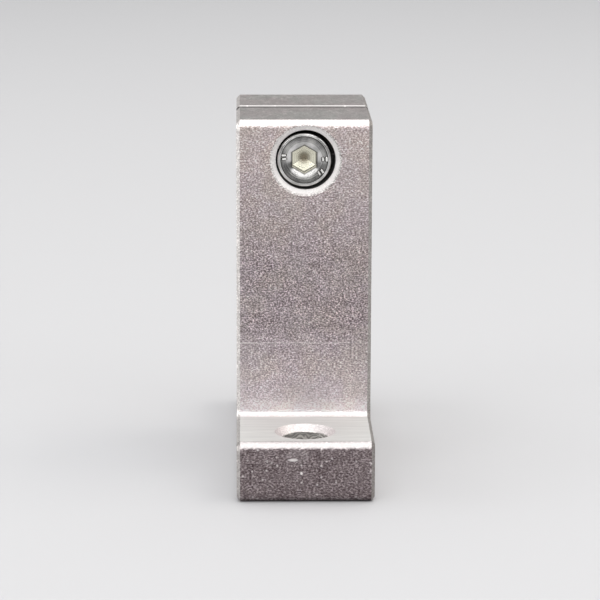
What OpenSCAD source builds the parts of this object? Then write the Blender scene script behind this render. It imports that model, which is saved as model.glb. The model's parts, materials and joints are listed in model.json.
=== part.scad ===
// Shaft support block: a T-shaped aluminium bracket that clamps the end of a linear shaft.
// X runs along the shaft, Y along the base, Z up. The origin is the middle of the mounting face.

/* [Shaft clamp] */
// Diameter of the shaft that the bore grips
shaft_d = 12; // [8:0.5:20]
// Height of the shaft's centre above the mounting face
shaft_h = 23; // [16:0.5:40]
// Metal on each side of the bore, out to the faces of the pillar
cheek = 4; // [3:0.25:8]
// Width of the clamping slit, cut from the top down into the bore
slit_w = 1.3; // [0.8:0.1:2.4]
// Chamfer along the two upper edges of the slit
slit_chamfer = 0.1; // [0.05:0.05:0.4]
// Chamfer at both mouths of the bore
bore_chamfer = 0.4; // [0.2:0.1:0.8]

/* [Body] */
// Thickness of the block, measured along the shaft
block_t = 14; // [11:0.5:30]
// Reach of each flange, out from the pillar
flange_out = 11; // [8.5:0.5:20]
// Thickness of the flanges
flange_h = 6.3; // [4:0.1:12]
// Radius of the profile's outer corners
corner_r = 1; // [0.5:0.1:1.2]
// Radius in the corners between the flanges and the pillar
inner_r = 0.8; // [0.3:0.1:2]
// Chamfer round the edges of the two sawn faces
edge_chamfer = 0.35; // [0.1:0.05:0.45]

/* [Mounting holes] */
// Diameter of the hole in each flange
mount_d = 4.8; // [3:0.1:6]
// Distance from the end of a flange to the centre of its hole
mount_end = 4.5; // [4.2:0.1:6]
// Chamfer at the upper mouth of each mounting hole
mount_chamfer = 0.7; // [0.3:0.1:0.8]

/* [Clamp screw] */
// Nominal thread diameter of the clamp screw
screw_d = 3; // [2:0.5:4]
// Screws come in lengths that are a multiple of this
screw_len_step = 2; // [1:1:4]
// Diameter of the screw's round head
head_d = 5.6; // [4.5:0.1:7]
// Height of the head
head_h = 3; // [2:0.1:4]
// Rounding of the head's top edge
head_rim_r = 0.3; // [0.1:0.05:0.5]
// Width across the flats of the hexagon socket
socket_af = 2.5; // [1.5:0.1:3]
// Depth of the flat walls of the socket
socket_depth = 1.4; // [0.8:0.1:2]
// How far the countersink at the socket's mouth reaches beyond its corners
socket_lead = 0.4; // [0.1:0.05:0.5]
// Chamfer on the tip of the screw
tip_chamfer = 0.4; // [0.1:0.1:0.6]

/* [Clamp screw holes] */
// Gap all round between the head and its counterbore
head_play = 0.3; // [0.2:0.05:0.6]
// How far the top of the head sits below the face of the pillar
head_sink = 0.4; // [0:0.1:2]
// Chamfer at the mouth of the counterbore
counterbore_chamfer = 0.6; // [0.2:0.05:0.8]
// Metal left between the counterbore and the crown of the bore
crown_wall = 1.2; // [0.8:0.1:3]
// Metal left between the counterbore and the top of the block
top_wall = 1.1; // [0.9:0.1:4]
// Gap all round the screw in the clearance hole of the near jaw
shank_play = 0.2; // [0.15:0.05:0.4]
// Gap all round the screw in the threaded hole of the far jaw
thread_play = 0.05; // [0.02:0.01:0.09]
// How far the screw sits to one side of the counterbore's centre
screw_offset = 0.14; // [0:0.02:0.14]
// Chamfer on the hole mouths at the back and underneath
deburr = 0.3; // [0.1:0.1:0.5]

/* [Hidden] */
$fn = 96;

BLOCK_COLOR = [0.80, 0.77, 0.78];
SCREW_COLOR = [0.72, 0.72, 0.67];

// A cutting tool runs this far past the face that it opens
over = 1;

// Corner to corner of a hexagon, over its width across the flats
HEX_CORNERS = 2 / sqrt(3);
// Half angle of the drills that countersink the socket and end in its bottom
DRILL_HALF_ANGLE = 59;

pillar_w = shaft_d + 2 * cheek;
base_w = pillar_w + 2 * flange_out;

shank_d = screw_d - 0.1;
thread_hole_d = shank_d + 2 * thread_play;
clearance_d = shank_d + 2 * shank_play;
counterbore_d = head_d + 2 * head_play;
counterbore_depth = head_h + head_sink;

// The longest screw in the series whose tip stays inside the pillar
screw_len = screw_len_step * floor((pillar_w - counterbore_depth) / screw_len_step);

screw_z = shaft_h + shaft_d / 2 + crown_wall + counterbore_d / 2;
block_h = screw_z + counterbore_d / 2 + top_wall;

mount_y = base_w / 2 - mount_end;

// A round hole of depth h from z = 0, flared by its mouth chamfers where they are above zero.
module hole(d, h, lower = 0, upper = 0) {
    r = d / 2;
    lower_out = lower > 0 ? lower + over : 0;
    upper_out = upper > 0 ? upper + over : 0;
    rotate_extrude()
        polygon([
            [0, -over],
            [r + lower_out, -over],
            [r, lower],
            [r, h - upper],
            [r + upper_out, h + over],
            [0, h + over]
        ]);
}

// A rectangle centred on the origin, with its four corners cut off at 45 degrees.
module cut_rectangle(a, b, c) {
    x = a / 2;
    y = b / 2;
    polygon([
        [x - c, -y], [x, c - y], [x, y - c], [x - c, y],
        [c - x, y], [-x, y - c], [-x, c - y], [c - x, -y]
    ]);
}

// A short round post along X with both rims chamfered: one rounded corner of the block.
module corner_post(r) {
    half = block_t / 2;
    rotate([0, 90, 0])
        rotate_extrude()
            polygon([
                [0, -half], [r - edge_chamfer, -half], [r, edge_chamfer - half],
                [r, half - edge_chamfer], [r - edge_chamfer, half], [0, half]
            ]);
}

// A slab across the whole thickness, w wide and h high, with rounded corners and chamfered rims.
module slab(w, h) {
    translate([0, w / 2 - corner_r, h / 2])
        rotate([90, 0, 0])
            linear_extrude(w - 2 * corner_r)
                cut_rectangle(block_t, h, edge_chamfer);
    translate([0, 0, corner_r])
        linear_extrude(h - 2 * corner_r)
            cut_rectangle(block_t, w, edge_chamfer);
    for (y = [corner_r - w / 2, w / 2 - corner_r], z = [corner_r, h - corner_r])
        translate([0, y, z])
            corner_post(corner_r);
}

// The hollow corner between a flange and the pillar. Its chamfer flares round the same centre.
module inner_corner() {
    reach = inner_r + edge_chamfer;
    half = block_t / 2;
    translate([0, pillar_w / 2 + inner_r, flange_h + inner_r])
        difference() {
            translate([-half, -reach, -reach])
                cube([block_t, reach, reach]);
            rotate([0, 90, 0])
                rotate_extrude()
                    polygon([
                        [0, -half - over],
                        [reach + over, -half - over],
                        [inner_r, edge_chamfer - half],
                        [inner_r, half - edge_chamfer],
                        [reach + over, half + over],
                        [0, half + over]
                    ]);
        }
}

// The T-shaped profile, cut to length, before anything is drilled.
module blank() {
    slab(base_w, flange_h);
    slab(pillar_w, block_h);
    inner_corner();
    mirror([0, 1, 0])
        inner_corner();
}

// Puts a shape on the screw's axis: z = 0 is the near face of the pillar and +z goes into it.
module on_screw_axis() {
    translate([0, -pillar_w / 2, screw_z])
        rotate([-90, 0, 0])
            children();
}

// Clamping slit, from inside the bore up through the crown, with its upper edges broken.
module slit() {
    half = slit_w / 2;
    flared = half + slit_chamfer + over;
    rotate([90, 0, 90])
        translate([0, 0, -block_t / 2 - over])
            linear_extrude(block_t + 2 * over)
                polygon([
                    [-half, shaft_h],
                    [half, shaft_h],
                    [half, block_h - slit_chamfer],
                    [flared, block_h + over],
                    [-flared, block_h + over],
                    [-half, block_h - slit_chamfer]
                ]);
}

// Counterbore and clearance hole of the near jaw. They end in the middle of the slit.
module near_jaw_hole() {
    translate([screw_offset, 0, 0]) {
        difference() {
            hole(counterbore_d, counterbore_depth, lower = counterbore_chamfer);
            translate([0, 0, counterbore_depth])
                cylinder(h = 2 * over, d = counterbore_d + over);
        }
        cylinder(h = pillar_w / 2, d = clearance_d);
    }
}

// Threaded hole of the far jaw, drawn at the size of its thread's crests.
module far_jaw_hole() {
    translate([0, 0, pillar_w / 2])
        hole(thread_hole_d, pillar_w / 2, upper = deburr);
}

module support_block() {
    color(BLOCK_COLOR)
        difference() {
            blank();
            translate([-block_t / 2, 0, shaft_h])
                rotate([0, 90, 0])
                    hole(shaft_d, block_t, lower = bore_chamfer, upper = bore_chamfer);
            slit();
            on_screw_axis() {
                near_jaw_hole();
                far_jaw_hole();
            }
            for (side = [-1, 1])
                translate([0, side * mount_y, 0])
                    hole(mount_d, flange_h, lower = deburr, upper = mount_chamfer);
        }
}

// Turned outline of the head: a disc whose top edge is rounded.
module head_outline() {
    r = head_d / 2;
    translate([0, head_rim_r])
        square([r, head_h - head_rim_r]);
    square([r - head_rim_r, head_h]);
    translate([r - head_rim_r, head_rim_r])
        circle(head_rim_r);
}

// Hexagon socket: a countersunk mouth, flat walls and the point of the drill that opened it.
module socket() {
    flat_r = socket_af / 2;
    hex_r = flat_r * HEX_CORNERS;
    mouth_r = hex_r + socket_lead;
    slope = tan(DRILL_HALF_ANGLE);
    translate([0, 0, -over])
        cylinder(h = over + mouth_r / slope, r1 = mouth_r + over * slope, r2 = 0);
    translate([0, 0, -over])
        rotate([0, 0, 30])
            cylinder(h = over + socket_depth, r = hex_r, $fn = 6);
    translate([0, 0, socket_depth])
        cylinder(h = flat_r / slope, r1 = flat_r, r2 = 0);
}

module clamp_screw() {
    tip_r = shank_d / 2 - tip_chamfer;
    color(SCREW_COLOR)
        on_screw_axis()
            translate([0, 0, head_sink])
                difference() {
                    union() {
                        rotate_extrude()
                            head_outline();
                        translate([0, 0, head_h - over])
                            cylinder(h = screw_len - tip_chamfer + over, d = shank_d);
                        translate([0, 0, head_h + screw_len - tip_chamfer])
                            cylinder(h = tip_chamfer, r1 = shank_d / 2, r2 = tip_r);
                    }
                    socket();
                }
}

support_block();
clamp_screw();
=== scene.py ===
"""Looks of the shaft support block: its metal finishes, its detailed clamp screw and a studio."""

import json
import math

import bmesh
import bpy
from mathutils import Matrix, Vector


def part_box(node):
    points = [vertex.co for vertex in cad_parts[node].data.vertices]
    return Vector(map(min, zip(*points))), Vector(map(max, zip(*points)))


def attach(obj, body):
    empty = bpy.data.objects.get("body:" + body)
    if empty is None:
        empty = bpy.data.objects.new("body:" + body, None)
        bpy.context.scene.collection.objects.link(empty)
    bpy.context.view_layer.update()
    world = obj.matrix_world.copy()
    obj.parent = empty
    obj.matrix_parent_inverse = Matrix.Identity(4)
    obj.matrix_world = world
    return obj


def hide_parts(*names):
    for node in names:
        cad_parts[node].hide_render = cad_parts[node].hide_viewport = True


MM = 0.001
TAU = 2 * math.pi

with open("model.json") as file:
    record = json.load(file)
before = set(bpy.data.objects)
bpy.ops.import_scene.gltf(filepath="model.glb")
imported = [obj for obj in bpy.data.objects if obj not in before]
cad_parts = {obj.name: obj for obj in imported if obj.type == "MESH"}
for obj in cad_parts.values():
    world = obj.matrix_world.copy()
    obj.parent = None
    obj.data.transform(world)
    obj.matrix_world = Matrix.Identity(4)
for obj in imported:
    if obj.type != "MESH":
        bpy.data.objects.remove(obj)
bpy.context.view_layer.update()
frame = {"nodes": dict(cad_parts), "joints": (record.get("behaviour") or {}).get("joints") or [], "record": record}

# ---------------------------------------------------------------- sizes and places, in millimetres

MOUNTS = {mount["name"]: mount for mount in frame["record"]["mounts"]}
BORE_R = MOUNTS["shaft_bore"]["dims"]["r_mm"]
BORE_Z = MOUNTS["shaft_bore"]["pos_m"][2] / MM
BOLT_Y = MOUNTS["bolt_holes"]["dims"]["spacing_y_mm"] / 2

BLOCK_LOW, BLOCK_HIGH = (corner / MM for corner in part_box("support_block"))
CORNER_R = 1.0
FLANGE_TOP = 6.3
FLANGE_OUT = 11.0
FLANGE_END_Y = BLOCK_HIGH.y - CORNER_R
PILLAR_FACE_Y = BLOCK_LOW.y + FLANGE_OUT
SLIT_HALF = 0.65
SLIT_CHAMFER = 0.1

BORE_MOUTH_R = BORE_R + 0.4
BOLT_R = MOUNTS["bolt_holes"]["dims"]["hole_r_mm"]
BOLT_MOUTH_R = BOLT_R + 0.7
COUNTERBORE_X = 0.14
COUNTERBORE_CONE = 0.6
COUNTERBORE_MOUTH_R = 3.1 + COUNTERBORE_CONE
TAPPED_MOUTH_R = 1.8
# A hole's zone reaches this far past its mouth
HOLE_MARGIN = 0.02

SCREW_LOW, SCREW_HIGH = (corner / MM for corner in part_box("clamp_screw"))

HEAD_R = (SCREW_HIGH.z - SCREW_LOW.z) / 2
SCREW_Z = (SCREW_HIGH.z + SCREW_LOW.z) / 2
HEAD_TOP_Y = SCREW_LOW.y
HEAD_SEAT_Y = frame["joints"][0]["pos_m"][1] / MM
HEAD_H = HEAD_SEAT_Y - HEAD_TOP_Y
TIP_Y = SCREW_HIGH.y
THREAD_PITCH = 0.5

# ---------------------------------------------------------------- node wiring


class Wiring:
    """Adds nodes to one tree and joins them, so that a material reads as a list of steps."""

    def __init__(self, tree):
        self.tree = tree

    def feed(self, socket, value):
        if isinstance(value, bpy.types.NodeSocket):
            self.tree.links.new(value, socket)
        else:
            socket.default_value = value

    def node(self, kind, inputs=None, **settings):
        made = self.tree.nodes.new(kind)
        for name, value in settings.items():
            setattr(made, name, value)
        for name, value in (inputs or {}).items():
            self.feed(made.inputs[name], value)
        return made

    def math(self, operation, *values, clamp=False):
        made = self.node("ShaderNodeMath", operation=operation, use_clamp=clamp)
        for k, value in enumerate(values):
            self.feed(made.inputs[k], value)
        return made.outputs[0]

    def vector(self, operation, *values, output="Vector"):
        made = self.node("ShaderNodeVectorMath", operation=operation)
        for k, value in enumerate(values):
            self.feed(made.inputs[k], value)
        return made.outputs[output]

    def scaled(self, vector, factor):
        inputs = {0: vector, "Scale": factor}
        return self.node("ShaderNodeVectorMath", inputs, operation="SCALE").outputs[0]

    def largest(self, *masks):
        """Each place takes the largest of the masks."""
        total = masks[0]
        for mask in masks[1:]:
            total = self.math("MAXIMUM", total, mask)
        return total

    def both(self, *masks):
        """The part that all the masks share."""
        total = masks[0]
        for mask in masks[1:]:
            total = self.math("MULTIPLY", total, mask)
        return total

    def step(self, value, low, high, at_low=0.0, at_high=1.0):
        """Smooth step from at_low, where the value is low, to at_high."""
        made = self.node("ShaderNodeMapRange", interpolation_type="SMOOTHSTEP")
        for k, number in enumerate((value, low, high, at_low, at_high)):
            self.feed(made.inputs[k], number)
        return made.outputs[0]

    def ramp(self, value, low, high):
        """Straight ramp from 0, where the value is low, to 1."""
        made = self.node("ShaderNodeMapRange")
        for k, number in enumerate((value, low, high)):
            self.feed(made.inputs[k], number)
        return made.outputs[0]

    def blend(self, mask, a, b):
        """The number a, or b where the mask is 1."""
        return self.node("ShaderNodeMix", {0: mask, 2: a, 3: b}, data_type="FLOAT").outputs[0]

    def tint(self, mask, a, b):
        """The colour a, or b where the mask is 1."""
        return self.node("ShaderNodeMix", {0: mask, 6: a, 7: b}, data_type="RGBA").outputs[2]

    def lift(self, mask, colour, added):
        """The colour with another one added to it, no brighter than white."""
        inputs = {0: mask, 6: colour, 7: added}
        settings = {"data_type": "RGBA", "blend_type": "ADD", "clamp_result": True}
        return self.node("ShaderNodeMix", inputs, **settings).outputs[2]

    def dye(self, mask, colour, a, b):
        """The colour multiplied by a, or by b where the mask is 1."""
        inputs = {0: 1.0, 6: colour, 7: self.tint(mask, a, b)}
        settings = {"data_type": "RGBA", "blend_type": "MULTIPLY"}
        return self.node("ShaderNodeMix", inputs, **settings).outputs[2]

    def noise(self, vector, scale, detail=2.0, roughness=0.5):
        inputs = {"Vector": vector, "Scale": scale, "Detail": detail, "Roughness": roughness}
        return self.node("ShaderNodeTexNoise", inputs).outputs[0]

    def group(self, tree, **inputs):
        return self.node("ShaderNodeGroup", inputs, node_tree=tree).outputs


def shader_group(name, inputs, outputs):
    """A new node group, from {input: default} and a list of outputs.

    A default of 3 numbers makes a vector input, and every output is a number.
    """
    tree = bpy.data.node_groups.new(name, "ShaderNodeTree")
    for label, default in inputs.items():
        kind = "NodeSocketFloat" if isinstance(default, (int, float)) else "NodeSocketVector"
        tree.interface.new_socket(label, in_out="INPUT", socket_type=kind).default_value = default
    for label in outputs:
        tree.interface.new_socket(label, in_out="OUTPUT", socket_type="NodeSocketFloat")
    given = tree.nodes.new("NodeGroupInput").outputs
    out = tree.nodes.new("NodeGroupOutput").inputs
    return tree, Wiring(tree), given, out


def place_mm(w):
    """The point on the piece, in millimetres of the row frame."""
    return w.scaled(w.node("ShaderNodeTexCoord").outputs["Object"], 1 / MM)


# ---------------------------------------------------------------- effects that the materials share


def near_axis_group():
    """What lies within a radius of a line. Along counts from the line's point, along the line."""
    tree, w, given, out = shader_group(
        "Near Axis",
        {"Point": (0, 0, 0), "Direction": (1, 0, 0), "Radius": 1.0, "Softness": 0.02},
        ["Mask", "Distance", "Along"],
    )
    offset = w.vector("SUBTRACT", place_mm(w), given["Point"])
    along = w.vector("DOT_PRODUCT", offset, given["Direction"], output="Value")
    across = w.vector("SUBTRACT", offset, w.scaled(given["Direction"], along))
    distance = w.vector("LENGTH", across, output="Value")
    outer = w.math("ADD", given["Radius"], given["Softness"])
    w.feed(out["Mask"], w.step(distance, given["Radius"], outer, 1.0, 0.0))
    w.feed(out["Distance"], distance)
    w.feed(out["Along"], along)
    return tree


def facing_group():
    """How squarely a face looks along a direction, or straight against it."""
    tree, w, given, out = shader_group(
        "Facing", {"Direction": (1, 0, 0), "Low": 0.9, "High": 0.97}, ["Mask"]
    )
    normal = w.node("ShaderNodeTexCoord").outputs["Normal"]
    slope = w.vector("DOT_PRODUCT", normal, given["Direction"], output="Value")
    w.feed(out["Mask"], w.step(w.math("ABSOLUTE", slope), given["Low"], given["High"]))
    return tree


def blasted_grain_group():
    """The skin of blasted metal: its height, and a tone from dark pits to the bright lips between."""
    tree, w, given, out = shader_group(
        "Blasted Grain", {"Size": 0.2, "Sharpness": 1.6}, ["Height", "Tone"]
    )
    point = w.vector("MULTIPLY", place_mm(w), (0.7, 1.0, 1.1))
    fine = w.math("DIVIDE", 1.0, given["Size"])
    pits = w.noise(point, fine, detail=1.0, roughness=0.5)
    swell = w.noise(point, w.math("MULTIPLY", fine, 0.22), detail=2.0, roughness=0.6)
    mixed = w.math("ADD", w.math("MULTIPLY", pits, 0.75), w.math("MULTIPLY", swell, 0.25))
    w.feed(out["Height"], w.math("ADD", pits, w.math("MULTIPLY", swell, 0.4)))
    flat = w.math("POWER", w.ramp(mixed, 0.27, 0.72), given["Sharpness"])
    curls = w.noise(point, w.math("MULTIPLY", fine, 0.62), detail=1.0)
    from_lip = w.math("ABSOLUTE", w.math("SUBTRACT", curls, 0.5))
    lips = w.both(w.step(from_lip, 0.0, 0.07, 1.0, 0.0), w.ramp(pits, 0.38, 0.6))
    tone = w.math("ADD", w.math("MULTIPLY", flat, 0.92), w.math("MULTIPLY", lips, 0.75), clamp=True)
    w.feed(out["Tone"], tone)
    return tree


def drawn_lines_group():
    """Fine lines along one direction, as a die, a saw or a belt leaves them."""
    tree, w, given, out = shader_group(
        "Drawn Lines", {"Stretch": (0.02, 1, 1), "Spacing": 0.15}, ["Height"]
    )
    point = w.vector("MULTIPLY", place_mm(w), given["Stretch"])
    lines = w.noise(point, w.math("DIVIDE", 1.0, given["Spacing"]), detail=3.0, roughness=0.7)
    w.feed(out["Height"], lines)
    return tree


def turned_rings_group():
    """Rings left by a drill, a saw or a lathe tool: evenly spaced, of uneven depth."""
    tree, w, given, out = shader_group("Turned Rings", {"Position": 0.0, "Pitch": 0.1}, ["Height"])
    turns = w.math("DIVIDE", given["Position"], given["Pitch"])
    ring = w.math("SINE", w.math("MULTIPLY", turns, TAU))
    uneven = {"W": turns, "Scale": 0.7}
    depth = w.node("ShaderNodeTexNoise", uneven, noise_dimensions="1D").outputs[0]
    w.feed(out["Height"], w.math("MULTIPLY", w.math("ADD", ring, 1.0), depth))
    return tree


def handling_marks_group():
    """Wide, faint clouds of tone, from grease and from the uneven bite of the blasting."""
    tree, w, given, out = shader_group("Handling Marks", {"Size": 6.0}, ["Tone"])
    cloud = w.noise(place_mm(w), w.math("DIVIDE", 1.0, given["Size"]), detail=3.0)
    w.feed(out["Tone"], w.step(cloud, 0.3, 0.7))
    return tree


def painted_glints_group():
    """Scattered painted glints: bright points where a crystal of the metal or a dent catches the light."""
    tree, w, given, out = shader_group(
        "Painted Glints", {"Spacing": 0.6, "Size": 0.1, "Share": 0.2}, ["Mask"]
    )
    spread = {"Vector": place_mm(w), "Scale": w.math("DIVIDE", 1.0, given["Spacing"])}
    cells = w.node("ShaderNodeTexVoronoi", spread).outputs
    distance = w.math("MULTIPLY", cells["Distance"], given["Spacing"])
    lot = w.node("ShaderNodeSeparateColor", {0: cells["Color"]}).outputs[0]
    chosen = w.math("LESS_THAN", lot, given["Share"])
    w.feed(out["Mask"], w.both(chosen, w.step(distance, 0.0, given["Size"], 1.0, 0.0)))
    return tree


NEAR_AXIS = near_axis_group()
FACING = facing_group()
BLASTED_GRAIN = blasted_grain_group()
DRAWN_LINES = drawn_lines_group()
TURNED_RINGS = turned_rings_group()
HANDLING_MARKS = handling_marks_group()
PAINTED_GLINTS = painted_glints_group()

# ---------------------------------------------------------------- materials

# Blasted surfaces. In each pair, the first colour is that of the pits and the second of the lips
SKIN = ((0.098, 0.067, 0.070, 1), (1.0, 0.885, 0.905, 1))
# The flanges' ends are toned darker than the pillar: a painted shade
FLANGE_END_SHADED_SKIN = ((0.088, 0.062, 0.066, 1), (0.51, 0.437, 0.444, 1))
CROWN_SKIN = ((0.20, 0.183, 0.18, 1), (0.56, 0.525, 0.52, 1))
# Lighter tone on the rounded edges off the floor: a painted highlight
FILLET_HIGHLIGHT = (0.74, 0.715, 0.705, 1)

# Painted sheen towards the top of the pillar and painted reflection of the flange top towards its foot, lifted
# over the skin, each with the heights it grows between
UPPER_PAINTED_SHEEN = (0.22, 0.188, 0.172, 1)
UPPER_RISE = (22.0, 34.5)
LOWER_PAINTED_REFLECTION = (0.38, 0.335, 0.35, 1)
LOWER_RISE = (16.0, 6.5)
FOOT_PAINTED_REFLECTION = (0.22, 0.21, 0.21, 1)
FOOT_RISE = (6.9, 8.8)

# Casts that the anodising leaves, and grease from handling
SKIN_CASTS = ((1.0, 0.985, 0.95, 1), (0.985, 0.972, 1.0, 1))
SKIN_GREASE = (0.46, 0.44, 0.42, 1)
CROWN_CASTS = ((1.0, 0.945, 0.94, 1), (0.965, 0.985, 0.955, 1))
CROWN_LINES = (0.46, 0.44, 0.435, 1)
CROWN_DARK = (0.20, 0.185, 0.178, 1)
CROWN_LIGHT = (0.74, 0.71, 0.70, 1)
CROWN_GREASE = (0.34, 0.34, 0.33, 1)

# Cut surfaces, from their dull places to their bright ones. The chamfers carry painted shade on the +X side and at
# the flanges' ends
MILLED = ((0.62, 0.62, 0.605, 1), (0.76, 0.76, 0.745, 1))
CHAMFER = ((0.50, 0.47, 0.455, 1), (0.96, 0.925, 0.90, 1))
CHAMFER_SIDE_SHADE = ((1.0, 1.0, 1.0, 1), (0.66, 0.65, 0.64, 1))
CHAMFER_FLANGE_END_SHADE = (0.24, 0.22, 0.215, 1)
SAWN = ((0.56, 0.53, 0.525, 1), (0.72, 0.69, 0.685, 1))
SAWN_SPARKLE = (0.85, 0.82, 0.81, 1)
BORED = ((0.80, 0.785, 0.775, 1), (1.0, 0.985, 0.975, 1))
BOLT_MOUTH = ((0.66, 0.625, 0.62, 1), (0.90, 0.86, 0.855, 1))
BOLT_WALL = ((0.40, 0.39, 0.38, 1), (0.85, 0.83, 0.80, 1))
TORN_CONE = ((0.88, 0.86, 0.85, 1), (1.0, 0.985, 0.975, 1))
# Dark wall deep in the counterbore: grime and painted shade
COUNTERBORE_WALL_GRIME_AND_SHADE = (0.30, 0.29, 0.285, 1)
SLIT_EDGE = (0.56, 0.54, 0.53, 1)
SLIT_WALL = (0.42, 0.40, 0.39, 1)
# Colour of the bright marks and of the painted glints
BRIGHT_MARK_AND_GLINT = (1.0, 0.95, 0.94, 1)

# Marks on the near faces: place along X, height, half width and half height
NICK = (-1.3, 4.5, 0.65, 0.2)
NICK_HALO = (-0.9, 4.9, 1.5, 0.9)
SPECK = (-0.45, 3.1, 0.16, 0.2)
DIE_LINE_Z = 14.1
SAW_CENTRE_Y = 35.0
SAW_CENTRE_Z = -80.0

# How rough each finish is, and how deep its grain stands beside that of the skin
FINISH_ROUGHNESS = {"flange_top": 0.7, "crown": 0.42, "sawn": 0.36, "chamfer": 0.5}
CUT_ROUGHNESS = 0.32
CONE_ROUGHNESS = 0.6
TORN_ROUGHNESS = 0.85
GRAIN_DEPTH = {"fillet": 0.5, "crown": 0.6, "flange_top": 0.08, "sawn": 0.3, "chamfer": 0.25}
CUT_DEPTH = 0.06
TORN_DEPTH = 0.35

# The screw: dull and bright places of its head, the socket's walls and its bottom under painted shade, painted
# shade and highlight on the raised bars, and painted shade on the socket's edge and the head's sides
HEAD_STEEL = ((0.40, 0.40, 0.39, 1), (0.74, 0.73, 0.72, 1))
FACE_STEEL = ((0.10, 0.10, 0.105, 1), (0.50, 0.495, 0.475, 1))
SOCKET_STEEL_AND_SHADE = ((0.80, 0.78, 0.64, 1), (0.20, 0.165, 0.11, 1))
SOCKET_EDGE_SHADE = (0.10, 0.095, 0.08, 1)
BAR_FLANK_SHADE = (0.07, 0.065, 0.06, 1)
BAR_TOP_HIGHLIGHT = (0.97, 0.96, 0.93, 1)
HEAD_SIDE_SHADE = (0.10, 0.09, 0.09, 1)


def new_material(name, metallic):
    """A material with a Principled shader, its wiring, and the shader's inputs."""
    material = bpy.data.materials.new(name)
    material.use_nodes = True
    material.node_tree.nodes.clear()
    w = Wiring(material.node_tree)
    shader = w.node("ShaderNodeBsdfPrincipled", {"Metallic": metallic})
    w.node("ShaderNodeOutputMaterial", {"Surface": shader.outputs[0]})
    return material, w, shader.inputs


def block_zones(w, xyz):
    """Masks of the block's surfaces, by the way they face and by the cutter that made them."""
    across, along, up = (1, 0, 0), (0, 1, 0), (0, 0, 1)
    sawn = w.group(FACING, Direction=across, Low=0.9, High=0.97)["Mask"]
    sloped = w.group(FACING, Direction=across, Low=0.3, High=0.5)["Mask"]
    level = w.group(FACING, Direction=up, Low=0.93, High=0.985)["Mask"]
    upright = w.group(FACING, Direction=along, Low=0.85, High=0.98)["Mask"]
    high_up = w.math("GREATER_THAN", xyz["Z"], BORE_Z)
    low_down = w.math("LESS_THAN", xyz["Z"], FLANGE_TOP + 0.05)
    off_the_floor = w.math("GREATER_THAN", xyz["Z"], 1.0)
    from_middle = w.math("ABSOLUTE", xyz["Y"])

    def hole(point, direction, mouth_r):
        return w.group(NEAR_AXIS, Point=point, Direction=direction, Radius=mouth_r + HOLE_MARGIN)

    bore = hole((0, 0, BORE_Z), across, BORE_MOUTH_R)
    recess = hole((COUNTERBORE_X, 0, SCREW_Z), along, COUNTERBORE_MOUTH_R)
    counterbore = w.both(recess["Mask"], w.math("LESS_THAN", recess["Along"], 0.0))
    cone_end = PILLAR_FACE_Y + COUNTERBORE_CONE
    past_cone = w.step(recess["Along"], cone_end + 0.1, cone_end + 0.3)
    tapped = hole((0, 0, SCREW_Z), along, TAPPED_MOUTH_R)
    bolts = [hole((0, side * BOLT_Y, 0), up, BOLT_MOUTH_R) for side in (-1, 1)]
    bolt_distance = w.math("MINIMUM", bolts[0]["Distance"], bolts[1]["Distance"])
    return {
        "sawn": sawn,
        "upright": w.both(upright, w.math("SUBTRACT", 1.0, low_down)),
        "chamfer": w.math("SUBTRACT", sloped, sawn, clamp=True),
        # Fillets above the floor, which carry a painted highlight
        "fillet": w.both(w.math("SUBTRACT", 1.0, w.largest(level, upright, sloped)), off_the_floor),
        "crown": w.both(level, high_up),
        "flange_top": w.both(level, low_down, off_the_floor),
        "flange_end": w.math("GREATER_THAN", from_middle, FLANGE_END_Y),
        "slit": w.both(w.math("LESS_THAN", from_middle, SLIT_HALF + 0.01), high_up),
        "slit_edge": w.both(w.math("LESS_THAN", from_middle, SLIT_HALF + SLIT_CHAMFER + 0.02), high_up),
        "bore": bore["Mask"],
        "counterbore": counterbore,
        "counterbore_lip": w.step(recess["Distance"], COUNTERBORE_MOUTH_R - 0.3, COUNTERBORE_MOUTH_R),
        "counterbore_wall": w.both(counterbore, past_cone),
        "thread": w.both(tapped["Mask"], w.math("GREATER_THAN", tapped["Along"], 0.0)),
        "bolts": w.largest(*(bolt["Mask"] for bolt in bolts)),
        "bolt_wall": w.step(bolt_distance, BOLT_R + 0.01, BOLT_R + 0.06, 1.0, 0.0),
    }


def scratch(w, xyz, across, height, half_width, half_height):
    """Mask of one soft-edged mark on the near faces, around a place across and up the block."""
    offset_x = w.math("DIVIDE", w.math("SUBTRACT", xyz["X"], across), half_width)
    offset_z = w.math("DIVIDE", w.math("SUBTRACT", xyz["Z"], height), half_height)
    squared = w.math("ADD", w.math("POWER", offset_x, 2.0), w.math("POWER", offset_z, 2.0))
    return w.both(w.step(squared, 0.2, 1.0, 1.0, 0.0), w.math("LESS_THAN", xyz["Y"], 0.0))


def near_face_marks(w, xyz, zone, lines):
    """A nick and a speck on the near flange's end, and the die's faint line across the pillar."""
    nick = w.math("MULTIPLY", scratch(w, xyz, *NICK), 0.8)
    halo = w.both(scratch(w, xyz, *NICK_HALO), w.ramp(lines, 0.2, 0.9), 0.25)
    on_flange = w.both(w.largest(nick, halo, scratch(w, xyz, *SPECK)), zone["flange_end"])
    from_line = w.math("ABSOLUTE", w.math("SUBTRACT", xyz["Z"], DIE_LINE_Z))
    die_line = w.step(from_line, 0.02, 0.1, 1.0, 0.0)
    return w.largest(on_flange, w.both(die_line, w.ramp(lines, 0.35, 0.9), zone["upright"]))


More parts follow.
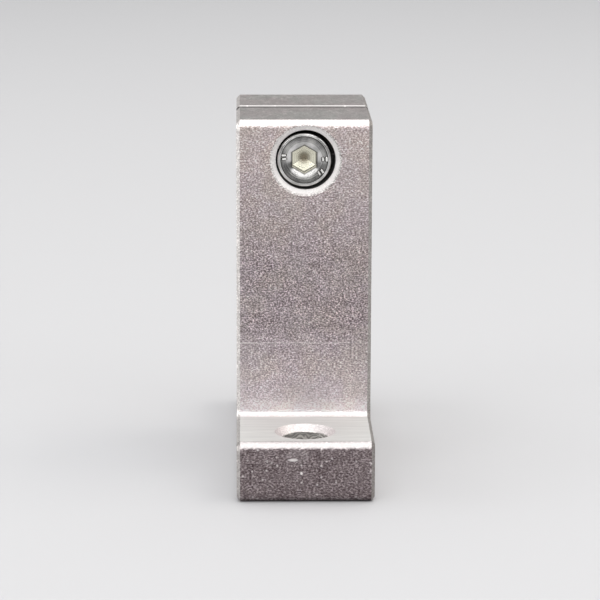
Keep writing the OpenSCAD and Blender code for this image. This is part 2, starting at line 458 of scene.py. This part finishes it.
def saw_arcs(w, xyz):
    """Height of the arcs that a large round saw leaves on the two sawn faces."""
    offset_y = w.math("SUBTRACT", xyz["Y"], SAW_CENTRE_Y)
    offset_z = w.math("SUBTRACT", xyz["Z"], SAW_CENTRE_Z)
    squared = w.math("ADD", w.math("POWER", offset_y, 2.0), w.math("POWER", offset_z, 2.0))
    radius = w.math("SQRT", squared)
    uneven = {"W": radius, "Scale": 3.6, "Detail": 4.0, "Roughness": 0.7}
    sweep = w.node("ShaderNodeTexNoise", uneven, noise_dimensions="1D").outputs[0]
    teeth = w.group(TURNED_RINGS, Position=radius, Pitch=0.4)["Height"]
    return w.math("ADD", w.math("MULTIPLY", sweep, 0.75), w.math("MULTIPLY", teeth, 0.12))


def skin_colour(w, xyz, zone, grain, cloud):
    """Blasted skin of the pillar and of the flanges' ends, with painted sheen towards the top, painted reflection
    towards the foot and painted shade on the flanges' ends.
    """
    skin = w.tint(grain, *SKIN)
    # Painted sheen towards the top, then painted reflection of the bright flange top towards the foot
    skin = w.lift(w.ramp(xyz["Z"], *UPPER_RISE), skin, UPPER_PAINTED_SHEEN)
    skin = w.lift(w.ramp(xyz["Z"], *LOWER_RISE), skin, LOWER_PAINTED_REFLECTION)
    skin = w.lift(w.step(xyz["Z"], *FOOT_RISE, 1.0, 0.0), skin, FOOT_PAINTED_REFLECTION)
    cast = w.step(w.noise(place_mm(w), 0.35, detail=3.0), 0.35, 0.65)
    skin = w.dye(cast, skin, *SKIN_CASTS)
    skin = w.tint(w.both(cloud, 0.25), skin, SKIN_GREASE)
    # The flanges' ends take a darker skin, a painted shade
    return w.tint(zone["flange_end"], skin, w.tint(grain, *FLANGE_END_SHADED_SKIN))


def crown_colour(w, grain, streak, cloud):
    """The top of the block: the same blasting, more worn and mottled."""
    mottle_place = w.vector("MULTIPLY", place_mm(w), (1.5, 0.8, 1.0))
    mottle = w.noise(mottle_place, 1.0, detail=4.0, roughness=0.75)
    cast = w.noise(w.vector("MULTIPLY", place_mm(w), (0.45, 0.2, 1.0)), 1.0, detail=2.0)
    crown = w.tint(grain, *CROWN_SKIN)
    crown = w.tint(w.both(streak, 0.4), crown, CROWN_LINES)
    crown = w.tint(w.both(w.ramp(mottle, 0.56, 0.4), 0.4), crown, CROWN_DARK)
    crown = w.tint(w.both(w.ramp(mottle, 0.56, 0.72), 0.4), crown, CROWN_LIGHT)
    crown = w.dye(w.ramp(cast, 0.4, 0.6), crown, *CROWN_CASTS)
    return w.tint(w.both(cloud, 0.3), crown, CROWN_GREASE)


def block_colour(w, xyz, zone, grain, lines, arcs, cloud):
    """Tone of every finish on the block. The blasted skin comes first and the cutters' marks after."""
    streak = w.ramp(lines, 0.3, 0.7)
    colour = skin_colour(w, xyz, zone, grain, cloud)
    colour = w.tint(zone["crown"], colour, crown_colour(w, grain, streak, cloud))
    # Painted highlight on the rounded edges, kept off the bottom ones
    colour = w.tint(w.both(zone["fillet"], 0.7), colour, FILLET_HIGHLIGHT)
    colour = w.tint(zone["flange_top"], colour, w.tint(streak, *MILLED))
    chamfer = w.tint(grain, *CHAMFER)
    # Painted shade on the chamfers of the +X side and at the flanges' ends
    chamfer = w.dye(w.math("GREATER_THAN", xyz["X"], 0.0), chamfer, *CHAMFER_SIDE_SHADE)
    chamfer = w.tint(w.both(zone["flange_end"], 0.5), chamfer, CHAMFER_FLANGE_END_SHADE)
    colour = w.tint(zone["chamfer"], colour, chamfer)
    sawn = w.tint(w.ramp(arcs, 0.28, 0.62), *SAWN)
    colour = w.tint(zone["sawn"], colour, w.tint(w.both(grain, 0.4), sawn, SAWN_SPARKLE))
    colour = w.tint(w.largest(zone["bore"], zone["thread"]), colour, w.tint(grain, *BORED))
    colour = w.tint(zone["bolts"], colour, w.tint(grain, *BOLT_MOUTH))
    torn = w.tint(w.largest(grain, w.both(cloud, 0.7)), *TORN_CONE)
    worn_lip = w.both(zone["counterbore_lip"], w.ramp(grain, 0.75, 0.15))
    colour = w.tint(w.math("SUBTRACT", zone["counterbore"], worn_lip, clamp=True), colour, torn)
    colour = w.tint(zone["slit_edge"], colour, SLIT_EDGE)
    colour = w.tint(zone["slit"], colour, SLIT_WALL)
    # Grime and painted shade on the counterbore's deep wall
    colour = w.tint(zone["counterbore_wall"], colour, COUNTERBORE_WALL_GRIME_AND_SHADE)
    wall = w.tint(w.ramp(drill_waves(w, xyz), 0.3, 0.9), *BOLT_WALL)
    return w.tint(zone["bolt_wall"], colour, wall)


def drill_waves(w, xyz):
    """Height of the wavy scores that a drill leaves round the wall of an upright hole."""
    wander = w.math("MULTIPLY", w.noise(place_mm(w), 0.7, detail=2.0, roughness=0.6), 1.3)
    return w.group(TURNED_RINGS, Position=w.math("ADD", xyz["Z"], wander), Pitch=0.3)["Height"]


def block_aluminium():
    """Blasted and clear anodised extrusion, brighter where it was milled, drilled and chamfered."""
    material, w, shader = new_material("block_aluminium", metallic=1.0)
    xyz = w.node("ShaderNodeSeparateXYZ", {0: place_mm(w)}).outputs
    zone = block_zones(w, xyz)

    fine = w.group(BLASTED_GRAIN, Size=0.145, Sharpness=1.8)
    coarse = w.group(BLASTED_GRAIN, Size=0.175, Sharpness=1.7)
    grain = w.blend(zone["flange_end"], fine["Tone"], coarse["Tone"])
    grain_height = w.blend(zone["flange_end"], fine["Height"], coarse["Height"])
    lines = w.group(DRAWN_LINES, Stretch=(0.03, 1, 1), Spacing=0.22)["Height"]
    cloud = w.group(HANDLING_MARKS, Size=5.0)["Tone"]
    arcs = saw_arcs(w, xyz)
    # Painted glints scattered over the blasted skin
    glints = w.group(PAINTED_GLINTS, Spacing=0.5, Size=0.17, Share=0.3)["Mask"]

    colour = block_colour(w, xyz, zone, grain, lines, arcs, cloud)
    off_skin = w.largest(zone["crown"], zone["flange_top"], zone["sawn"])
    glints_on_skin = w.both(glints, w.math("SUBTRACT", 0.75, off_skin, clamp=True))
    # Painted glints, together with the nick, speck and die line
    bright = w.largest(glints_on_skin, near_face_marks(w, xyz, zone, lines))
    w.feed(shader["Base Color"], w.tint(bright, colour, BRIGHT_MARK_AND_GLINT))

    cut = w.largest(zone["slit_edge"], zone["bore"], zone["thread"])
    cones = w.largest(zone["counterbore"], zone["bolts"])
    rough = w.blend(grain, 0.46, 0.34)
    for name, value in FINISH_ROUGHNESS.items():
        rough = w.blend(zone[name], rough, value)
    rough = w.blend(cut, rough, CUT_ROUGHNESS)
    rough = w.blend(cones, rough, CONE_ROUGHNESS)
    w.feed(shader["Roughness"], w.blend(zone["counterbore"], rough, TORN_ROUGHNESS))

    depth = 1.0
    for name, value in GRAIN_DEPTH.items():
        depth = w.blend(zone[name], depth, value)
    depth = w.blend(w.largest(cut, cones), depth, CUT_DEPTH)
    depth = w.blend(zone["counterbore"], depth, TORN_DEPTH)
    height = w.math("ADD", w.both(grain_height, depth), w.both(lines, 0.12))
    height = w.math("ADD", height, w.both(arcs, zone["sawn"], 0.22))
    bump = w.node("ShaderNodeBump", {"Strength": 1.0, "Distance": 0.06 * MM, "Height": height})
    w.feed(shader["Normal"], bump.outputs[0])
    return material


def socket_width(w):
    """Distance from the screw's axis, measured square to the nearest flat of its hexagon socket."""
    point = w.vector("SUBTRACT", place_mm(w), (0, 0, SCREW_Z))
    flats = [(math.cos(TAU * k / 6), 0, math.sin(TAU * k / 6)) for k in range(3)]
    widths = [w.vector("DOT_PRODUCT", point, flat, output="Value") for flat in flats]
    return w.largest(*(w.math("ABSOLUTE", width) for width in widths))


def screw_steel():
    """Bright turned stainless steel, slightly yellow inside the socket, with painted shade in the socket, along
    its edge and on the head's sides, and painted highlights on the raised bars.
    """
    material, w, shader = new_material("screw_steel", metallic=1.0)
    axis = w.group(NEAR_AXIS, Point=(0, HEAD_TOP_Y, SCREW_Z), Direction=(0, 1, 0))
    from_axis, depth = axis["Distance"], axis["Along"]
    rings = w.group(TURNED_RINGS, Position=from_axis, Pitch=0.09)["Height"]
    cloud = w.group(HANDLING_MARKS, Size=1.2)["Tone"]
    from_flat = socket_width(w)

    in_head = w.step(depth, HEAD_H - 0.1, HEAD_H, 1.0, 0.0)
    outside_mouth = w.step(from_axis, SOCKET_MOUTH_R, SOCKET_MOUTH_R + 0.05)
    on_face = w.both(outside_mouth, w.step(from_axis, FACE_R + 0.04, FACE_R + 0.08, 1.0, 0.0))
    flank = w.both(on_face, w.step(depth, BAR_TOP, 0.03), w.step(depth, 0.1, 0.12, 1.0, 0.0))
    raised = w.both(on_face, w.step(depth, BAR_TOP + 0.01, BAR_TOP + 0.03, 1.0, 0.0))
    in_socket = w.both(w.step(from_flat, SOCKET_HALF - 0.03, SOCKET_HALF + 0.01, 1.0, 0.0), in_head)
    # Painted shade towards the socket's bottom
    bottom = w.both(w.step(from_axis, 0.15, 0.95, 1.0, 0.0), 0.9)
    wall_line = w.step(from_flat, SOCKET_HALF - 0.1, SOCKET_HALF - 0.02)
    # A burr and painted shade, in a dark line along the socket's edge
    edge = w.both(wall_line, w.step(from_flat, 1.3, 1.46, 1.0, 0.0), in_head, 0.85)
    # Painted shade on the head's sides, down in the counterbore
    deep = w.both(w.step(from_axis, HEAD_R - 0.15, HEAD_R - 0.05), w.step(depth, 0.3, 0.9))

    face = w.tint(w.largest(cloud, w.ramp(rings, 0.5, 1.0)), *FACE_STEEL)
    colour = w.tint(on_face, w.tint(cloud, *HEAD_STEEL), face)
    # Painted shade on the bars' flanks and a painted highlight on their tops
    colour = w.tint(flank, colour, BAR_FLANK_SHADE)
    colour = w.tint(raised, colour, BAR_TOP_HIGHLIGHT)
    colour = w.tint(in_socket, colour, w.tint(bottom, *SOCKET_STEEL_AND_SHADE))
    colour = w.tint(edge, colour, SOCKET_EDGE_SHADE)
    w.feed(shader["Base Color"], w.tint(deep, colour, HEAD_SIDE_SHADE))
    w.feed(shader["Roughness"], w.blend(cloud, 0.10, 0.18))
    bump = w.node("ShaderNodeBump", {"Strength": 1.0, "Distance": 0.005 * MM, "Height": rings})
    w.feed(shader["Normal"], bump.outputs[0])
    return material


def studio_floor():
    """Pale, smooth sheet with a soft reflection."""
    material, w, shader = new_material("studio_floor", metallic=0.0)
    w.feed(shader["Base Color"], (0.54, 0.54, 0.55, 1))
    w.feed(shader["Roughness"], 0.6)
    w.feed(shader["Specular IOR Level"], 0.03)
    return material


# ---------------------------------------------------------------- the clamp screw

SOCKET_HALF = 1.25
SOCKET_DEPTH = 1.4
SOCKET_MOUTH_R = SOCKET_HALF / math.cos(math.radians(30)) + 0.4
DRILL_SLOPE = 1 / math.tan(math.radians(59))
# The six-sided point in the bottom of the socket, and the steps that it is built in
SOCKET_POINT = 0.5
SOCKET_STEPS = 4
# The face is dished, and a narrow step lifts the rim above it
FACE_DISH = 0.13
FACE_R = 2.38
RIM_R = 0.3
RIM_STEPS = 8
KNURLS = 72
KNURL_DEPTH = 0.05
HEAD_SEGMENTS = 4 * KNURLS
SEAT_BEVEL = 0.15
# The shank is rounded out by this much where it meets the head
SHANK_FILLET = 0.1

THREAD_CREST_R = 1.45
THREAD_ROOT_R = 1.18
THREAD_START = HEAD_H + 0.6
TIP_CHAMFER = 0.4
TURN_SEGMENTS = KNURLS
PITCH_STEPS = 8

# Each pair of small raised bars: its place round the head and its turn, in degrees
BAR_PAIRS = ((172, 15), (2, 90), (323, -20))
BAR_POINTS = 24
BAR_R = 2.12
BAR_LENGTH = 0.42
BAR_WIDTH = 0.17
BAR_SPACING = 0.38
BAR_FLANK = 0.11
BAR_TOP = 0.0


def on_axis(radius, angle, depth):
    """A point of the screw, in metres. Depth counts from the head's top, and angle from +X to +Z."""
    x = radius * math.cos(angle)
    z = SCREW_Z + radius * math.sin(angle)
    return Vector((x, HEAD_TOP_Y + depth, z)) * MM


def socket_wall_r(angle):
    """Radius of the hexagon's wall. Its flats face sideways and its corners up and down."""
    sixth = TAU / 6
    from_flat = (angle + sixth / 2) % sixth - sixth / 2
    return SOCKET_HALF / math.cos(from_flat)


def head_profile(angle):
    """Points (radius, depth) from the middle of the socket, over the head, to the shank's start."""
    wall = socket_wall_r(angle)
    out = [k / SOCKET_STEPS for k in range(1, SOCKET_STEPS + 1)]
    points = [(wall * part, SOCKET_DEPTH + SOCKET_POINT * (1 - part)) for part in out]
    points.append((wall, FACE_DISH + (SOCKET_MOUTH_R - wall) * DRILL_SLOPE))
    points.append((SOCKET_MOUTH_R, FACE_DISH))
    points.append((FACE_R, FACE_DISH - 0.02))
    points.append((FACE_R + 0.08, 0))
    for k in range(RIM_STEPS + 1):
        turn = math.radians(90) * k / RIM_STEPS
        points.append((HEAD_R - RIM_R + RIM_R * math.sin(turn), RIM_R - RIM_R * math.cos(turn)))
    knurl_r = HEAD_R - KNURL_DEPTH * (0.5 - 0.5 * math.cos(angle * KNURLS))
    points.append((knurl_r, RIM_R + 0.1))
    points.append((knurl_r, HEAD_H - 0.2))
    points.append((HEAD_R - SEAT_BEVEL, HEAD_H))
    points.append((THREAD_CREST_R + SHANK_FILLET, HEAD_H))
    return points


def thread_r(phase, depth):
    """Radius of a 60 degree thread at a fraction of its pitch, where 0 is its crest.

    The thread grows from the shank over its first pitch, and the tip's chamfer cuts it down.
    """
    height = THREAD_CREST_R - THREAD_ROOT_R
    half_crest = THREAD_PITCH / 16
    from_crest = abs((phase + 0.5) % 1.0 - 0.5) * THREAD_PITCH
    run = height * math.tan(math.radians(30))
    drop = min(1.0, max(0.0, (from_crest - half_crest) / run))
    cut_in = min(1.0, (depth - THREAD_START) / THREAD_PITCH)
    past_chamfer = HEAD_TOP_Y + depth - (TIP_Y - TIP_CHAMFER)
    return min(THREAD_CREST_R - height * drop * cut_in, THREAD_CREST_R - max(0.0, past_chamfer))


def add_quads(mesh, rows):
    """Joins neighbouring rows of vertices, which may share vertices, into faces."""
    for left, right in zip(rows, rows[1:]):
        for k in range(len(left) - 1):
            corners = list(dict.fromkeys((left[k], left[k + 1], right[k + 1], right[k])))
            if len(corners) > 2:
                mesh.faces.new(corners)


def add_head(mesh):
    """The head, turned from its profile. Returns the ring of vertices where the shank begins."""
    centre = mesh.verts.new(on_axis(0, 0, SOCKET_DEPTH + SOCKET_POINT))
    rows = []
    for k in range(HEAD_SEGMENTS):
        angle = TAU * k / HEAD_SEGMENTS
        profile = [on_axis(radius, angle, depth) for radius, depth in head_profile(angle)]
        rows.append([centre] + [mesh.verts.new(point) for point in profile])
    add_quads(mesh, rows + rows[:1])
    return [row[-1] for row in rows]


def add_thread(mesh):
    """A right-handed thread, with its tip cut square. Returns the ring of vertices it starts from.

    Each column of the grid follows the helix.
    """
    start = THREAD_START
    end = TIP_Y - HEAD_TOP_Y
    columns = math.ceil((end - start) / THREAD_PITCH * PITCH_STEPS) + PITCH_STEPS + 1
    places = {}

    def vertex(k, column):
        raw = start + (column / PITCH_STEPS - k / TURN_SEGMENTS) * THREAD_PITCH
        depth = min(end, max(start, raw))
        phase = (depth - start) / THREAD_PITCH + k / TURN_SEGMENTS
        key = (k % TURN_SEGMENTS, round(depth, 6))
        if key not in places:
            angle = TAU * k / TURN_SEGMENTS
            places[key] = mesh.verts.new(on_axis(thread_r(phase, depth), angle, depth))
        return places[key]

    rows = [[vertex(k, column) for column in range(columns)] for k in range(TURN_SEGMENTS + 1)]
    add_quads(mesh, rows)
    centre = mesh.verts.new(on_axis(0, 0, end))
    tip = [row[-1] for row in rows]
    for a, b in zip(tip, tip[1:]):
        mesh.faces.new((a, b, centre))
    return [row[0] for row in rows[:-1]]


def add_shank(mesh, seat, thread_start):
    """Joins the ring under the head to the start of the thread, which has fewer points round it."""
    angles = [TAU * k / TURN_SEGMENTS for k in range(TURN_SEGMENTS)]
    points = [on_axis(THREAD_CREST_R, angle, HEAD_H + SHANK_FILLET) for angle in angles]
    shank = [mesh.verts.new(point) for point in points]
    per_segment = len(seat) // TURN_SEGMENTS
    seat = seat + seat[:1]
    for k in range(TURN_SEGMENTS):
        after = (k + 1) % TURN_SEGMENTS
        outer = seat[k * per_segment : (k + 1) * per_segment + 1]
        mesh.faces.new(outer + [shank[after], shank[k]])
        mesh.faces.new((shank[k], shank[after], thread_start[after], thread_start[k]))


def squared_circle(turn):
    """A point (length, width) on a circle of radius 1 whose four sides are flattened."""
    length = math.copysign(abs(math.cos(turn)) ** 0.5, math.cos(turn))
    width = math.copysign(abs(math.sin(turn)) ** 0.5, math.sin(turn))
    return length, width


def add_bar(mesh, angle, turned, shift):
    """A small raised bar on the dished face of the head, with sloping flanks and a softened top."""
    steps = ((BAR_FLANK, FACE_DISH + 0.03), (0.03, 0.03), (0.0, BAR_TOP), (-0.04, BAR_TOP))
    rings = []
    for outward, depth in steps:
        ring = []
        for k in range(BAR_POINTS):
            length, width = squared_circle(TAU * k / BAR_POINTS)
            length *= BAR_LENGTH / 2 + outward
            width = width * (BAR_WIDTH / 2 + outward) + shift
            across = length * math.cos(turned) - width * math.sin(turned)
            along = length * math.sin(turned) + width * math.cos(turned)
            ring.append(mesh.verts.new(on_axis(BAR_R + across, angle + along / BAR_R, depth)))
        rings.append(ring + ring[:1])
    add_quads(mesh, rings)
    mesh.faces.new(rings[-1][:-1])
    mesh.faces.new(rings[0][:-1])


def finish_mesh(mesh, name, sharp_angle):
    """Turns a bmesh into an object with smooth shading, apart from edges sharper than the angle."""
    bmesh.ops.recalc_face_normals(mesh, faces=mesh.faces)
    for face in mesh.faces:
        face.smooth = True
    for edge in mesh.edges:
        if not edge.is_manifold or edge.calc_face_angle() > math.radians(sharp_angle):
            edge.smooth = False
    data = bpy.data.meshes.new(name)
    mesh.to_mesh(data)
    mesh.free()
    made = bpy.data.objects.new(name, data)
    bpy.context.scene.collection.objects.link(made)
    return made


def detailed_screw():
    """The clamp screw in full detail, which takes the place of the plain one."""
    mesh = bmesh.new()
    seat = add_head(mesh)
    thread_start = add_thread(mesh)
    add_shank(mesh, seat, thread_start)
    for angle, turned in BAR_PAIRS:
        for shift in (-BAR_SPACING / 2, BAR_SPACING / 2):
            add_bar(mesh, math.radians(angle), math.radians(turned), shift)
    screw = finish_mesh(mesh, "clamp_screw_detailed", sharp_angle=32)
    screw.data.materials.append(screw_steel())
    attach(screw, "screw")
    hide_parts("clamp_screw")


# ---------------------------------------------------------------- studio

FLOOR_HALF = 3.0
AIM = Vector((0, 0, 0.019))
LAMP_DISTANCE = 0.8

# Angles in degrees, lens in millimetres and place in metres
CAMERA_TURN = 1.204
CAMERA_FALL = 12.16
CAMERA_ROLL = 0.162
CAMERA_LENS = 165.5
CAMERA_PLACE = (-0.0063, -0.2899, 0.0790)


def add_floor():
    """A wide flat sheet under the part."""
    mesh = bmesh.new()
    bmesh.ops.create_grid(mesh, x_segments=8, y_segments=8, size=FLOOR_HALF)
    floor = finish_mesh(mesh, "studio_floor", sharp_angle=180)
    floor.data.materials.append(studio_floor())


def add_softbox(name, azimuth, elevation, size, radiance, colour=(1, 1, 1), spread=180):
    """A rectangular lamp that faces the part. Azimuth 0 is in front, and 90 at the right.

    Radiance is what the part sees of it. A spread below 180 degrees keeps its light off the
    floor under it.
    """
    side = math.radians(azimuth)
    rise = math.radians(elevation)
    reach = math.cos(rise)
    away = Vector((math.sin(side) * reach, -math.cos(side) * reach, math.sin(rise)))
    lamp = bpy.data.lights.new(name, "AREA")
    lamp.shape = "RECTANGLE"
    lamp.size, lamp.size_y = size
    lamp.spread = math.radians(spread)
    half = lamp.spread / 2
    gain = math.tan(half) / (math.tan(half) - half) if spread < 180 else 1
    lamp.energy = radiance * size[0] * size[1] * math.pi / gain
    lamp.color = colour
    box = bpy.data.objects.new(name, lamp)
    box.location = AIM + away * LAMP_DISTANCE
    box.rotation_euler = (-away).to_track_quat("-Z", "Y").to_euler()
    box.visible_camera = False
    bpy.context.scene.collection.objects.link(box)


def add_world(horizon, overhead):
    """Soft grey all round, brighter overhead than at the horizon."""
    world = bpy.data.worlds.new("studio")
    world.use_nodes = True
    w = Wiring(world.node_tree)
    background = world.node_tree.nodes["Background"].inputs
    outward = w.node("ShaderNodeTexCoord").outputs["Generated"]
    direction = w.node("ShaderNodeSeparateXYZ", {0: outward}).outputs
    w.feed(background["Color"], (1, 1, 1, 1))
    w.feed(background["Strength"], w.step(direction["Z"], 0.0, 0.6, horizon, overhead))
    bpy.context.scene.world = world


def add_camera():
    """Nearly square to the pillar, from far off and a little above."""
    turn = math.radians(CAMERA_TURN)
    fall = math.radians(CAMERA_FALL)
    reach = math.cos(fall)
    forward = Vector((math.sin(turn) * reach, math.cos(turn) * reach, -math.sin(fall)))
    camera = bpy.data.cameras.new("camera")
    camera.lens = CAMERA_LENS
    camera.clip_start = 0.01
    holder = bpy.data.objects.new("camera", camera)
    roll = Matrix.Rotation(math.radians(CAMERA_ROLL), 3, "Z")
    look = forward.to_track_quat("-Z", "Y").to_matrix() @ roll
    holder.matrix_world = Matrix.Translation(CAMERA_PLACE) @ look.to_4x4()
    bpy.context.scene.collection.objects.link(holder)
    bpy.context.scene.camera = holder


def main():
    block = frame["nodes"]["support_block"]
    block.material_slots[0].material = block_aluminium()
    detailed_screw()
    add_floor()
    add_softbox("overhead", 180, 82, (1.1, 1.3), radiance=1.5)
    add_softbox("front_top", 0, 44, (0.8, 0.45), radiance=1.6)
    add_softbox("front_left", -48, 32, (0.3, 0.3), radiance=2.5)
    add_softbox("front_right", 48, 32, (0.3, 0.3), radiance=2.0)
    add_softbox("back_low", 180, 20, (0.5, 0.22), radiance=0.5, spread=80)
    add_softbox("left_strip", -92, 17, (0.5, 0.42), radiance=4.0, spread=80)
    add_softbox("right_high", 95, 48, (0.5, 0.45), radiance=2.6, colour=(1.0, 0.95, 0.88), spread=100)
    add_world(horizon=0.28, overhead=0.42)
    add_camera()
    bpy.context.scene.view_settings.view_transform = "Standard"


main()
